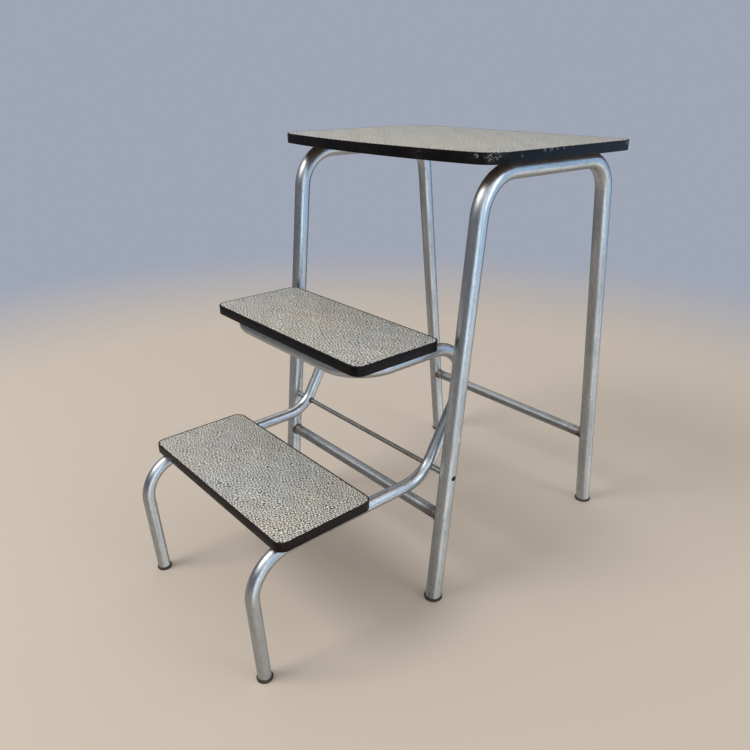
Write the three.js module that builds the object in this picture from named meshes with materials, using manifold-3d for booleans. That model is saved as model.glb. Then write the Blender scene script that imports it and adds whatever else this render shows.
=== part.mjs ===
// Folding step stool: a laminate seat on two bent side frames, and two steps on one bent
// tube that swings on a rod through the front legs. Millimetres, +Z up, front towards -Y.
import * as THREE from "three";
import { mergeVertices } from "three/addons/utils/BufferGeometryUtils.js";
import Module from "manifold-3d";

const wasm = await Module();
wasm.setup();

// Clearances and cuts
const fit = 0.3; // left between pieces that touch
const overrun = 4; // how far a cutting tool runs past the face it leaves

// Side frames: one tube each, bent into a front leg, a top run and a rear leg
const seatHeight = 593;
const frameTubeRadius = 11;
const frameTubeWall = 1.5;
const frameHalfSpread = 171.5; // middle of the stool to the middle of a side frame
const footHalfReach = 184.5; // middle of the stool to a foot, front or rear
const frontLean = 53; // how far a front leg comes in on its way up to the top run
const rearLean = 69.5;
const frontBendRadius = 54.5;
const rearBendRadius = 47;

// Cross tubes between the legs
const crossTubeRadius = 8;
const crossTubeWall = 1.2;
const frontCrossHeight = 127;
const rearCrossHeight = 130;

// Boards: a wooden core, a laminate sheet on top and a band round the edge
const laminateThickness = 1;
const bandThickness = 2;
const seatThickness = 13;
const seatOverhang = 28.5; // past the middle of a side frame
const seatSide = 282.8; // length of the sides, corner to corner
const seatBow = 19.6; // how far the front edge bulges at its middle
const seatRearEdge = 132.4; // behind the middle of the stool
const seatFrontCornerRadius = 36;
const seatRearCornerRadius = 18;
const stepThickness = 12.4;
const stepCornerRadius = 13.5;
const upperStepOverhang = 18.5; // past the middle of the tube under it
const upperStepDepth = 135;
const upperStepLead = 138.25; // from the rod forward to its front edge
const lowerStepOverhang = 19.75;
const lowerStepDepth = 138;
const lowerStepLead = 252.45;

// Step frame: one tube from foot to foot under both steps, placed from the rod; its
// corners are those of the tube's middle line before bending
const stepTubeRadius = 8.5;
const stepTubeWall = 1.3;
const stepBendRadius = 52;
const stepFootLead = 272.25; // from the rod forward to a foot
const lowerRunDrop = 16; // from the rod down to the lower run
const lowerRunFrontLead = 283.25; // from the rod forward to its front corner
const lowerRunRearLead = 10.65;
const upperRunRise = 163.3; // from the rod up to the upper run
const upperRunFrontLead = 125.75;
const upperRunRearLag = 94.75; // from the rod back to its rear corner

// Pivot rod and its spacer sleeves
const pivotHeight = 190.5;
const rodRadius = 3.3;
const rodRecess = 1.8; // rod ends lie this far inside the legs' outer faces
const stepRodHoleRadius = 4.2; // the step frame hangs loosely on the rod
const sleeveWall = 0.9;
const sleeveLength = 15.4; // keeps the step frame clear of the side frames

// Rubber feet
const footFlange = 1.8; // how far a foot stands out round its tube
const footThickness = 3.5;
const footEdgeRadius = 0.8;
const footStemLength = 14;

// Wood screws up into the cores; their heads lie inside the tubes, over wider access holes
const screwShankRadius = 1.8;
const screwHeadRadius = 3.6;
const screwHeadHeight = 2.2;
const screwHeadCrown = 0.8;
const screwTipLength = 3;
const screwBite = 8; // how deep a screw reaches into a core
const accessGap = 0.9; // round a screw's head in its access hole
const seatScrewInset = 20; // from the end of the straight top run to its nearest screw
const stepScrewInset = 15; // from the end of a straight run, or a step's rear edge
const frontScrewHalfGap = 55; // screws in the cross run under the upper step

// Facets
const bendFacet = Math.PI / 14; // largest turn between two rings of a bent tube
const tubeSides = 16;
const boreSides = 12;
const sleeveSides = 14;
const cornerSides = 3; // half the facets of a board's corner
const footSides = 18;
const screwSides = 8;
const holeSides = 10;

const looks = {
  chrome: { color: 0xb4b7ba, roughness: 0.22, metalness: 1 },
  crossTube: { color: 0x9a9c9e, roughness: 0.32, metalness: 1 },
  rod: { color: 0x8b8c8d, roughness: 0.38, metalness: 1 },
  laminate: { color: 0xb3a899, roughness: 0.48, metalness: 0 },
  band: { color: 0x171618, roughness: 0.28, metalness: 0 },
  core: { color: 0xa88a63, roughness: 0.85, metalness: 0 },
  rubber: { color: 0x2a1f1a, roughness: 0.7, metalness: 0 },
  screw: { color: 0xa9a48f, roughness: 0.4, metalness: 1 },
};

// The middle line of a bent tube: straight between corners, each corner an arc
class BentLine extends THREE.Curve {
  constructor(corners, radii) {
    super();
    this.points = [corners[0].clone()];
    this.tangents = [corners[1].clone().sub(corners[0]).normalize()];
    corners.slice(1, -1).forEach((corner, index) => {
      const ahead = corners[index + 2].clone().sub(corner).normalize();
      this.addBend(corner, this.tangents.at(-1), ahead, radii[index]);
    });
    this.points.push(corners.at(-1).clone());
    this.tangents.push(this.tangents.at(-1).clone());
  }

  addBend(corner, before, ahead, radius) {
    const turn = before.angleTo(ahead);
    const reach = radius * Math.tan(turn / 2);
    const start = corner.clone().addScaledVector(before, -reach);
    const axis = before.clone().cross(ahead).normalize();
    const inward = axis.clone().cross(before);
    const centre = start.clone().addScaledVector(inward, radius);
    const rings = Math.ceil(turn / bendFacet);
    for (let ring = 0; ring <= rings; ring += 1) {
      const angle = (turn * ring) / rings;
      const arm = inward.clone().multiplyScalar(-radius).applyAxisAngle(axis, angle);
      this.points.push(centre.clone().add(arm));
      this.tangents.push(before.clone().applyAxisAngle(axis, angle));
    }
  }

  get steps() {
    return this.points.length - 1;
  }

  getPointAt(share) {
    return this.points[Math.round(share * this.steps)].clone();
  }

  getTangentAt(share) {
    return this.tangents[Math.round(share * this.steps)].clone();
  }
}

function circle(radius, sides) {
  return Array.from({ length: sides }, (_, index) => {
    const angle = (Math.PI * 2 * index) / sides;
    return new THREE.Vector2(radius * Math.cos(angle), radius * Math.sin(angle));
  });
}

// The section of a tube; the bore has fewer sides than the outside
function ringShape(radius, wall, outerSides, innerSides) {
  const ring = new THREE.Shape(circle(radius, outerSides));
  ring.holes.push(new THREE.Path(circle(radius - wall, innerSides)));
  return ring;
}

function bentTube(line, radius, wall) {
  return new THREE.ExtrudeGeometry(ringShape(radius, wall, tubeSides, boreSides), {
    steps: line.steps,
    extrudePath: line,
  });
}

// A straight length of a section along X, centred on the origin
function straightTube(section, length) {
  const tube = new THREE.ExtrudeGeometry(section, { depth: length, bevelEnabled: false });
  return tube.translate(0, 0, -length / 2).rotateY(Math.PI / 2);
}

function bar(radius, length, sides) {
  return new THREE.CylinderGeometry(radius, radius, length, sides);
}

function toSolid(geometry) {
  const plain = geometry.clone();
  plain.deleteAttribute("normal");
  plain.deleteAttribute("uv");
  const merged = mergeVertices(plain);
  const vertProperties = new Float32Array(merged.attributes.position.array);
  const triVerts = new Uint32Array(merged.index.array);
  return new wasm.Manifold(new wasm.Mesh({ numProp: 3, vertProperties, triVerts }));
}

function toGeometry(solid) {
  const mesh = solid.getMesh();
  const geometry = new THREE.BufferGeometry();
  geometry.setAttribute("position", new THREE.BufferAttribute(mesh.vertProperties, 3));
  geometry.setIndex(new THREE.BufferAttribute(mesh.triVerts, 1));
  geometry.computeVertexNormals();
  return geometry;
}

function cut(geometry, tools) {
  const whole = toSolid(geometry);
  return toGeometry(tools.reduce((left, tool) => left.subtract(toSolid(tool)), whole));
}

function join(first, second) {
  return toGeometry(toSolid(first).add(toSolid(second)));
}

function piece(name, geometry, look, place = [0, 0, 0]) {
  const mesh = new THREE.Mesh(geometry, new THREE.MeshStandardMaterial(looks[look]));
  mesh.name = name;
  mesh.position.set(...place);
  return mesh;
}

// Everything below a level, as a block to cut with
function blockBelow(level, halfSide) {
  const side = halfSide * 2;
  return new THREE.BoxGeometry(side, side, side).translate(0, 0, level - halfSide);
}

// Lines of the side frames, seen from the side
const topRunHeight = seatHeight - seatThickness - fit - frameTubeRadius;
const tubeEndHeight = footThickness + fit;
const frontSlope = frontLean / topRunHeight;
const rearSlope = rearLean / topRunHeight;
const frontLegAt = (height) => -footHalfReach + frontSlope * height;
const rearLegAt = (height) => footHalfReach - rearSlope * height;
const frontLegTilt = Math.atan(frontSlope);
const rearLegTilt = Math.atan(rearSlope);

const sideLine = new BentLine(
  [
    new THREE.Vector3(0, frontLegAt(-overrun), -overrun),
    new THREE.Vector3(0, frontLegAt(topRunHeight), topRunHeight),
    new THREE.Vector3(0, rearLegAt(topRunHeight), topRunHeight),
    new THREE.Vector3(0, rearLegAt(-overrun), -overrun),
  ],
  [frontBendRadius, rearBendRadius],
);

// Where the straight part of the top run begins and ends
const bendReach = (radius, turn) => radius * Math.tan(turn / 2);
const topTurnFront = Math.PI / 2 - frontLegTilt;
const topTurnRear = Math.PI / 2 - rearLegTilt;
const topRunStart = frontLegAt(topRunHeight) + bendReach(frontBendRadius, topTurnFront);
const topRunEnd = rearLegAt(topRunHeight) - bendReach(rearBendRadius, topTurnRear);
const seatScrewPlaces = [topRunStart + seatScrewInset, topRunEnd - seatScrewInset];

const pivotY = frontLegAt(pivotHeight);
const sleeveOuter = frameHalfSpread - frameTubeRadius - fit;
const sleeveInner = sleeveOuter - sleeveLength;
const stepHalfSpread = sleeveInner - fit - stepTubeRadius;
const lowerRunHeight = pivotHeight - lowerRunDrop;
const upperRunHeight = pivotHeight + upperRunRise;
const upperRunFront = pivotY - upperRunFrontLead;
const rodBoreRadius = rodRadius + fit;
const screwBoreRadius = screwShankRadius + fit;

// A hole along X, or up along Z, through whatever it is cut from
const crossHole = (radius, length, y, z) =>
  bar(radius, length, holeSides).rotateZ(Math.PI / 2).translate(0, y, z);
const uprightHole = (radius, length, x, y, z) =>
  bar(radius, length, holeSides).rotateX(Math.PI / 2).translate(x, y, z);

// A screw's two holes in a level tube: its own above, the wider access hole below
function screwHoles(tubeRadius, x, y, z) {
  const length = tubeRadius + overrun;
  return [
    uprightHole(screwBoreRadius, length, x, y, z + length / 2),
    uprightHole(screwHeadRadius + accessGap, length, x, y, z - length / 2),
  ];
}

// The flat radius of a tube's bore, and how far above the tube's middle a screw's head bears
const boreFlatRadius = (tubeRadius, wall) => (tubeRadius - wall) * Math.cos(Math.PI / boreSides);
const headLevel = (tubeRadius, wall) =>
  Math.sqrt(boreFlatRadius(tubeRadius, wall) ** 2 - screwHeadRadius ** 2) - fit;

const frameTubeCut = frameTubeRadius * 2 + overrun * 2;
const sideFrame = cut(bentTube(sideLine, frameTubeRadius, frameTubeWall), [
  blockBelow(tubeEndHeight, footHalfReach * 2),
  crossHole(rodBoreRadius, frameTubeCut, pivotY, pivotHeight),
  ...seatScrewPlaces.flatMap((y) => screwHoles(frameTubeRadius, 0, y, topRunHeight)),
]);

// A tube between two legs, its ends shaped to the legs they meet
function crossTube(legAt, legTilt, height) {
  const legs = [-1, 1].map((side) =>
    bar(frameTubeRadius + fit, frameTubeCut * 2, tubeSides)
      .rotateX(Math.PI / 2 + legTilt)
      .translate(side * frameHalfSpread, 0, 0),
  );
  const section = ringShape(crossTubeRadius, crossTubeWall, tubeSides, boreSides);
  const tube = straightTube(section, frameHalfSpread * 2);
  return cut(tube, legs).translate(0, legAt(height), height);
}

// The outline of a board seen from above, its front corners at y = 0
function boardOutline(board, inset) {
  const half = board.width / 2 - inset;
  const rear = board.side - inset;
  const radius = board.frontCornerRadius - inset;
  const rearRadius = board.rearCornerRadius - inset;
  const cornerX = half - radius;
  const rearCornerX = half - rearRadius;
  const outline = new THREE.Shape();
  if (board.bow > 0) {
    const bowRadius = ((board.width / 2) ** 2 + board.bow ** 2) / (board.bow * 2);
    const bowCentre = bowRadius - board.bow;
    const rim = bowRadius - inset;
    const cornerY = bowCentre - Math.sqrt((rim - radius) ** 2 - cornerX ** 2);
    const meet = Math.atan2(cornerX, bowCentre - cornerY);
    outline.absarc(0, bowCentre, rim, -Math.PI / 2 - meet, -Math.PI / 2 + meet);
    outline.absarc(cornerX, cornerY, radius, -Math.PI / 2 + meet, 0);
    outline.absarc(rearCornerX, rear - rearRadius, rearRadius, 0, Math.PI / 2);
    outline.absarc(-rearCornerX, rear - rearRadius, rearRadius, Math.PI / 2, Math.PI);
    outline.absarc(-cornerX, cornerY, radius, Math.PI, Math.PI * 1.5 - meet);
  } else {
    outline.absarc(cornerX, inset + radius, radius, -Math.PI / 2, 0);
    outline.absarc(rearCornerX, rear - rearRadius, rearRadius, 0, Math.PI / 2);
    outline.absarc(-rearCornerX, rear - rearRadius, rearRadius, Math.PI / 2, Math.PI);
    outline.absarc(-cornerX, inset + radius, radius, Math.PI, Math.PI * 1.5);
  }
  outline.closePath();
  return outline;
}

const slab = (outline, depth) =>
  new THREE.ExtrudeGeometry(outline, {
    depth,
    bevelEnabled: false,
    curveSegments: cornerSides,
  });

// The three pieces of a board, lying on z = 0 with the middle of its front at x = y = 0;
// its screws stand in blind holes in the core
function makeBoard(name, board, screws) {
  const inside = bandThickness + fit;
  const coreThickness = board.thickness - laminateThickness - fit;
  const rim = boardOutline(board, 0);
  rim.holes.push(boardOutline(board, bandThickness));
  const core = cut(
    slab(boardOutline(board, inside), coreThickness),
    screws.map(([x, y]) => uprightHole(screwBoreRadius, (screwBite + fit) * 2, x, y, 0)),
  );
  const sheet = slab(boardOutline(board, inside), laminateThickness);
  return [
    piece(`${name}_core`, core, "core"),
    piece(`${name}_laminate`, sheet, "laminate", [0, 0, coreThickness + fit]),
    piece(`${name}_edge_band`, slab(rim, board.thickness), "band"),
  ];
}

// A pan-headed wood screw standing on its head, the bearing face of the head at z = 0
function makeScrew(tubeRadius, wall) {
  const length = tubeRadius - headLevel(tubeRadius, wall) + fit + screwBite;
  const profile = [
    [0, -screwHeadHeight],
    [screwHeadRadius - screwHeadCrown, -screwHeadHeight],
    [screwHeadRadius, -screwHeadHeight + screwHeadCrown],
    [screwHeadRadius, 0],
    [screwShankRadius, 0],
    [screwShankRadius, length - screwTipLength],
    [0, length],
  ];
  const points = profile.map(([x, y]) => new THREE.Vector2(x, y));
  return new THREE.LatheGeometry(points, screwSides).rotateX(Math.PI / 2);
}

// A rubber foot: a flange flat on the floor and a stem up into the leaning tube
function makeFoot(tubeRadius, tubeWall, tilt) {
  const edge = tubeRadius + footFlange;
  const stemRadius = boreFlatRadius(tubeRadius, tubeWall) - fit;
  const profile = [
    [0, 0],
    [edge - footEdgeRadius, 0],
    [edge, footEdgeRadius],
    [edge, footThickness - footEdgeRadius],
    [edge - footEdgeRadius, footThickness],
    [0, footThickness],
  ];
  const points = profile.map(([x, y]) => new THREE.Vector2(x, y));
  const flange = new THREE.LatheGeometry(points, footSides).rotateX(Math.PI / 2);
  const length = footStemLength + footThickness;
  const stem = bar(stemRadius, length, footSides)
    .translate(0, length / 2, 0)
    .rotateX(Math.PI / 2 + tilt);
  const trimmed = cut(stem, [blockBelow(footThickness / 2, length * 2)]);
  return join(flange, trimmed);
}

// The stool's standing part
const mainFrame = new THREE.Group();
const sides = { left: -1, right: 1 };

for (const [side, sign] of Object.entries(sides)) {
  const x = sign * frameHalfSpread;
  mainFrame.add(piece(`side_frame_${side}`, sideFrame, "chrome", [x, 0, 0]));
  const frontFoot = makeFoot(frameTubeRadius, frameTubeWall, -frontLegTilt);
  const rearFoot = makeFoot(frameTubeRadius, frameTubeWall, rearLegTilt);
  mainFrame.add(piece(`foot_front_${side}`, frontFoot, "rubber", [x, frontLegAt(0), 0]));
  mainFrame.add(piece(`foot_rear_${side}`, rearFoot, "rubber", [x, rearLegAt(0), 0]));
}
const frontCross = crossTube(frontLegAt, -frontLegTilt, frontCrossHeight);
const rearCross = crossTube(rearLegAt, rearLegTilt, rearCrossHeight);
mainFrame.add(piece("front_cross_tube", frontCross, "crossTube"));
mainFrame.add(piece("rear_cross_tube", rearCross, "crossTube"));

// The rod through both front legs, and a sleeve on it each side of the step frame
const rodLength = (frameHalfSpread + frameTubeRadius - rodRecess) * 2;
const rod = bar(rodRadius, rodLength, sleeveSides).rotateZ(Math.PI / 2);
mainFrame.add(piece("pivot_rod", rod, "rod", [0, pivotY, pivotHeight]));
const sleeveSection = ringShape(rodBoreRadius + sleeveWall, sleeveWall, sleeveSides, sleeveSides);
const sleeve = straightTube(sleeveSection, sleeveLength);
for (const [side, sign] of Object.entries(sides)) {
  const x = (sign * (sleeveInner + sleeveOuter)) / 2;
  mainFrame.add(piece(`pivot_sleeve_${side}`, sleeve, "rod", [x, pivotY, pivotHeight]));
}

// The seat and its four screws
const seatBoard = {
  width: (frameHalfSpread + seatOverhang) * 2,
  side: seatSide,
  bow: seatBow,
  frontCornerRadius: seatFrontCornerRadius,
  rearCornerRadius: seatRearCornerRadius,
  thickness: seatThickness,
};
const seatFront = seatRearEdge - seatSide;
const seatScrews = seatScrewPlaces.flatMap((y) => [-1, 1].map((s) => [s * frameHalfSpread, y]));
const seat = new THREE.Group();
seat.position.set(0, seatFront, seatHeight - seatThickness);
seat.add(...makeBoard("seat", seatBoard, seatScrews.map(([x, y]) => [x, y - seatFront])));
mainFrame.add(seat);
const seatScrew = makeScrew(frameTubeRadius, frameTubeWall);
const seatScrewHeight = topRunHeight + headLevel(frameTubeRadius, frameTubeWall);
seatScrews.forEach(([x, y], index) => {
  mainFrame.add(piece(`seat_screw_${index + 1}`, seatScrew, "screw", [x, y, seatScrewHeight]));
});

// The swinging part, placed at the pivot
const stepUnit = new THREE.Group();
stepUnit.position.set(0, pivotY, pivotHeight);
const swung = new THREE.Group();
swung.position.set(0, -pivotY, -pivotHeight);
stepUnit.add(swung);

const stepLegSlope = (lowerRunFrontLead - stepFootLead) / lowerRunHeight;
const stepLegAt = (height) => pivotY - stepFootLead - stepLegSlope * height;
const halfLine = (sign) => [
  [sign * stepHalfSpread, stepLegAt(-overrun), -overrun],
  [sign * stepHalfSpread, pivotY - lowerRunFrontLead, lowerRunHeight],
  [sign * stepHalfSpread, pivotY - lowerRunRearLead, lowerRunHeight],
  [sign * stepHalfSpread, pivotY + upperRunRearLag, upperRunHeight],
  [sign * stepHalfSpread, upperRunFront, upperRunHeight],
];
const stepCorners = [...halfLine(1), ...halfLine(-1).reverse()];
const stepLine = new BentLine(
  stepCorners.map((corner) => new THREE.Vector3(...corner)),
  stepCorners.slice(1, -1).map(() => stepBendRadius),
);

// Straight parts of the runs under the steps, for their screws
const lowerTurn = Math.PI / 2 + Math.atan(stepLegSlope);
const lowerStraightFront = pivotY - lowerRunFrontLead + bendReach(stepBendRadius, lowerTurn);
const lowerBoardFront = pivotY - lowerStepLead;
const upperBoardFront = pivotY - upperStepLead;
const lowerScrewPlaces = [
  lowerStraightFront + stepScrewInset,
  lowerBoardFront + lowerStepDepth - stepScrewInset,
];
const lowerScrews = lowerScrewPlaces.flatMap((y) => [-1, 1].map((s) => [s * stepHalfSpread, y]));
const upperScrews = [-1, 1].flatMap((s) => [
  [s * frontScrewHalfGap, upperRunFront],
  [s * stepHalfSpread, upperBoardFront + upperStepDepth - stepScrewInset],
]);

const stepTubeCut = stepTubeRadius * 2 + overrun * 2;
const stepFrame = cut(bentTube(stepLine, stepTubeRadius, stepTubeWall), [
  blockBelow(tubeEndHeight, stepFootLead * 2),
  crossHole(stepRodHoleRadius, stepHalfSpread * 2 + stepTubeCut, pivotY, pivotHeight),
  ...lowerScrews.flatMap(([x, y]) => screwHoles(stepTubeRadius, x, y, lowerRunHeight)),
  ...upperScrews.flatMap(([x, y]) => screwHoles(stepTubeRadius, x, y, upperRunHeight)),
]);
swung.add(piece("step_frame", stepFrame, "chrome"));

const stepFoot = makeFoot(stepTubeRadius, stepTubeWall, Math.atan(stepLegSlope));
for (const [side, sign] of Object.entries(sides)) {
  const place = [sign * stepHalfSpread, stepLegAt(0), 0];
  swung.add(piece(`step_foot_${side}`, stepFoot, "rubber", place));
}

// The two step boards and their screws
const stepScrew = makeScrew(stepTubeRadius, stepTubeWall);
function addStep(name, board, front, runHeight, screws) {
  const group = new THREE.Group();
  group.position.set(0, front, runHeight + stepTubeRadius + fit);
  group.add(...makeBoard(name, board, screws.map(([x, y]) => [x, y - front])));
  swung.add(group);
  screws.forEach(([x, y], index) => {
    const place = [x, y, runHeight + headLevel(stepTubeRadius, stepTubeWall)];
    swung.add(piece(`${name}_screw_${index + 1}`, stepScrew, "screw", place));
  });
}
const upperBoard = {
  width: (stepHalfSpread + upperStepOverhang) * 2,
  side: upperStepDepth,
  bow: 0,
  frontCornerRadius: stepCornerRadius,
  rearCornerRadius: stepCornerRadius,
  thickness: stepThickness,
};
const lowerBoard = {
  ...upperBoard,
  width: (stepHalfSpread + lowerStepOverhang) * 2,
  side: lowerStepDepth,
};
addStep("upper_step", upperBoard, upperBoardFront, upperRunHeight, upperScrews);
addStep("lower_step", lowerBoard, lowerBoardFront, lowerRunHeight, lowerScrews);

// The whole stool, with the middle of its footprint at the origin
const group = new THREE.Group();
group.add(mainFrame, stepUnit);
const extent = new THREE.Box3().setFromObject(group);
group.position.y = -(extent.min.y + extent.max.y) / 2;

export default group;
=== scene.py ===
import math

import bmesh
import bpy
from mathutils import Matrix, Vector


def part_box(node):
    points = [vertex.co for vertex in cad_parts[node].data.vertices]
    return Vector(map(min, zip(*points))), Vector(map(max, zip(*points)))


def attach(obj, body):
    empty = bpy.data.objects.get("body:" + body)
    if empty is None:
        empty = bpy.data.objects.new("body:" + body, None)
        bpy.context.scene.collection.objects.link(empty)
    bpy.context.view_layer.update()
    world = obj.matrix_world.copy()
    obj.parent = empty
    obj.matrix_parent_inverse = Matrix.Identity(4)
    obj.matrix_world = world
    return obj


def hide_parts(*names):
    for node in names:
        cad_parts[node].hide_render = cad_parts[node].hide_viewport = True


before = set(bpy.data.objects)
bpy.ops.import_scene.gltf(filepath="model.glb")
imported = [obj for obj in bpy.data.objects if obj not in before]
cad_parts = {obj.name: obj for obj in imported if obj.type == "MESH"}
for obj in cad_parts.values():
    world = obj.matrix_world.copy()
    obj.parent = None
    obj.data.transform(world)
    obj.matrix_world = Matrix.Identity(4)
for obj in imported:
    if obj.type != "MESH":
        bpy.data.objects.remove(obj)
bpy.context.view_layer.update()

mm = 0.001
hair = 0.1 * mm  # a gap or an overlap too small to see
scene = bpy.context.scene
scene.view_settings.view_transform = "Standard"


# camera: placed and turned as in the photograph

camera = {
    "place": (0.67816, -0.60915, 0.66557),
    "yaw": 0.8505,  # turned left from looking along +Y, in radians
    "pitch": -0.41313,
    "roll": 0.00113,
    "focalShare": 0.9029,  # focal length as a share of the picture's width
    "sensorWidth": 36,
    "clipStart": 0.01,
}


def addCamera():
    yaw, pitch, roll = camera["yaw"], camera["pitch"], camera["roll"]
    level = math.cos(pitch)
    ahead = Vector((-math.sin(yaw) * level, math.cos(yaw) * level, math.sin(pitch)))
    right = Vector((math.cos(yaw), math.sin(yaw), 0))
    up = right.cross(ahead)
    rolledRight = right * math.cos(roll) + up * math.sin(roll)
    rolledUp = up * math.cos(roll) - right * math.sin(roll)
    lens = bpy.data.cameras.new("camera")
    lens.sensor_width = camera["sensorWidth"]
    lens.lens = lens.sensor_width * camera["focalShare"]
    lens.clip_start = camera["clipStart"]
    holder = bpy.data.objects.new("camera", lens)
    turn = Matrix((rolledRight, rolledUp, -ahead)).transposed().to_4x4()
    holder.matrix_world = Matrix.Translation(camera["place"]) @ turn
    scene.collection.objects.link(holder)
    scene.camera = holder


addCamera()
print("camera placed")


# node helpers: a Bench is a node tree being wired up, a Wire is a socket on it that does sums

class Wire:
    def __init__(self, bench, socket):
        self.bench = bench
        self.socket = socket

    def sum(self, operation, first, second=0.0, clamp=False):
        settings = {"operation": operation, "use_clamp": clamp}
        return self.bench.wire("ShaderNodeMath", settings, {0: first, 1: second})

    def __add__(self, other):
        return self.sum("ADD", self, other)

    def __radd__(self, other):
        return self.sum("ADD", other, self)

    def __sub__(self, other):
        return self.sum("SUBTRACT", self, other)

    def __rsub__(self, other):
        return self.sum("SUBTRACT", other, self)

    def __mul__(self, other):
        return self.sum("MULTIPLY", self, other)

    def __rmul__(self, other):
        return self.sum("MULTIPLY", other, self)

    def __truediv__(self, other):
        return self.sum("DIVIDE", self, other)

    def __rtruediv__(self, other):
        return self.sum("DIVIDE", other, self)

    def clamped(self):
        return self.sum("ADD", self, 0.0, clamp=True)

    def size(self):
        return self.sum("ABSOLUTE", self)

    def between(self, low, high):  # 0 at low, 1 at high, clamped
        return self.sum("MULTIPLY", self - low, 1 / (high - low), clamp=True)


class Bench:
    def __init__(self, tree):
        self.tree = tree

    def add(self, kind, settings=None, values=None):
        node = self.tree.nodes.new(kind)
        for name, setting in (settings or {}).items():
            setattr(node, name, setting)
        for key, value in (values or {}).items():
            self.feed(self.pick(node.inputs, key), value)
        return node

    def pick(self, sockets, key):
        if isinstance(key, int):
            return sockets[key]
        exact = [socket for socket in sockets if socket.identifier == key]
        shown = [socket for socket in sockets if socket.name == key and socket.enabled]
        return (exact or shown)[0]

    def feed(self, socket, value):
        source = value.socket if isinstance(value, Wire) else value
        if isinstance(source, bpy.types.NodeSocket):
            self.tree.links.new(source, socket)
        else:
            socket.default_value = source

    def wire(self, kind, settings=None, values=None, output=0):
        return Wire(self, self.pick(self.add(kind, settings, values).outputs, output))

    def vectorSum(self, operation, *values, output="Vector"):
        return self.wire("ShaderNodeVectorMath", {"operation": operation}, dict(enumerate(values)), output)

    def part(self, place, letter):
        return self.wire("ShaderNodeSeparateXYZ", None, {"Vector": place}, letter)

    def blendColour(self, share, first, second, way="MIX"):
        return self.wire("ShaderNodeMix", {"data_type": "RGBA", "blend_type": way}, {
            "Factor_Float": share, "A_Color": rgba(first), "B_Color": rgba(second)}, "Result_Color")


def rgba(colour):
    return colour if isinstance(colour, Wire) else (*colour, 1)


class Finish(Bench):
    def __init__(self, name):
        self.material = bpy.data.materials.new(name)
        self.material.use_nodes = True
        super().__init__(self.material.node_tree)
        self.tree.nodes.clear()
        self.surface = self.add("ShaderNodeBsdfPrincipled")
        self.add("ShaderNodeOutputMaterial", None, {"Surface": self.surface.outputs[0]})
        self.place = self.wire("ShaderNodeTexCoord", output="Object")

    def set(self, **values):  # the surface's own sockets, spaces left out of their names
        for socket in self.surface.inputs:
            key = socket.name.replace(" ", "")
            if key in values:
                self.feed(socket, values[key])

    def stretched(self, place, scale):
        return self.wire("ShaderNodeMapping", None, {"Vector": place, "Scale": scale})

    def cloud(self, scale, detail, rough=0.5, place=None):  # one scale, or one for each axis
        place = place or self.place
        if isinstance(scale, tuple):
            place, scale = self.stretched(place, scale), 1.0
        return self.wire("ShaderNodeTexNoise", None, {
            "Vector": place, "Scale": scale, "Detail": detail, "Roughness": rough}, "Fac")

    def moved(self, scale, strength):  # the place pushed about by a noise of its own
        values = {"Vector": self.place, "Scale": scale, "Detail": 2.0}
        push = self.wire("ShaderNodeTexNoise", None, values, "Color")
        return self.vectorSum("MULTIPLY_ADD", push, (strength,) * 3, self.place)

    def near(self, centre, radius, core=0.35):  # 1 within core, a share of radius, 0 from radius out
        away = self.vectorSum("DISTANCE", self.place, centre, output="Value")
        return away.between(radius, radius * core)

    def coat(self, colour, rough, height, depth, strength, **others):
        values = {"Height": height, "Distance": depth, "Strength": strength}
        bump = self.wire("ShaderNodeBump", None, values)
        self.set(BaseColor=colour, Roughness=rough, Normal=bump, **others)
        return self.material


# finishes: a pattern is given as its scale or scales to the metre, detail and roughness, and a pair of
# noise values says where something begins and where it is full; relief is a bump's depth and strength

metalWear = {  # shared by the tubes, the cross tubes and the pivot, scaled across and along each
    "worn": ((60, 60, 9), 5.0, 0.62),
    "streak": ((420, 420, 11), 3.0, 0.6),
    "mottle": ((330, 330, 130), 4.0, 0.62),
    "wornDull": (0.42, 0.66),
    "wornRough": (0.38, 0.70),
    "streakDull": (0.48, 0.66),
    "streakShare": 0.24,
    "mottleDull": (0.48, 0.62),
    "mottleShare": 0.28,
    "speck": (400, 400, 290),  # cells, each with room for a pit
    "pitSize": (0.34, 0.18),
    "crowd": ((35, 35, 22), 2.0),
    "crowded": (0.50, 0.62),
    "pitHeights": (0.42, 0.06),  # rust pits thicken from the first height down to the second
    "pitStain": 0.8,
    "burn": (95, 3.0),
    "burnt": (0.34, 0.62),
    "scratch": (0.95, 0.95, 0.94),
    "scratched": (0.45, 0.53),
    "relief": (0.25 * mm, 0.4),
    "endStain": None,
    "groove": None,
    "scratches": [],
}

platedTube = {
    "clean": (0.67, 0.685, 0.70),
    "dull": (0.36, 0.355, 0.345),
    "stain": (0.12, 0.095, 0.065),
    "roughness": 0.24,
    "wornRoughness": 0.42,
    "dullShare": 0.45,
    "scratches": [((0.182, -0.0337, 0.246), 0.006), ((0.182, -0.006, 0.43), 0.005)],  # place and spread
}

# the cross tubes' colours are the frame's plating darkened: painted shade for the darker room they mirror
crossTube = {
    "clean": (0.44, 0.45, 0.46),
    "dull": (0.22, 0.215, 0.205),
    "stain": (0.10, 0.082, 0.045),
    "roughness": 0.34,
    "wornRoughness": 0.52,
    "dullShare": 0.6,
    "endStain": (0.135, 0.160),  # burnt brown from here out to the weld, along X
}

pivotMetal = {
    "clean": (0.46, 0.455, 0.43),
    "dull": (0.24, 0.23, 0.21),
    "stain": (0.05, 0.035, 0.02),
    "roughness": 0.34,
    "wornRoughness": 0.55,
    "dullShare": 0.5,
    "groove": (0.0032, 0.0028),  # the rod is darker where it is narrower than this
}


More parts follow.
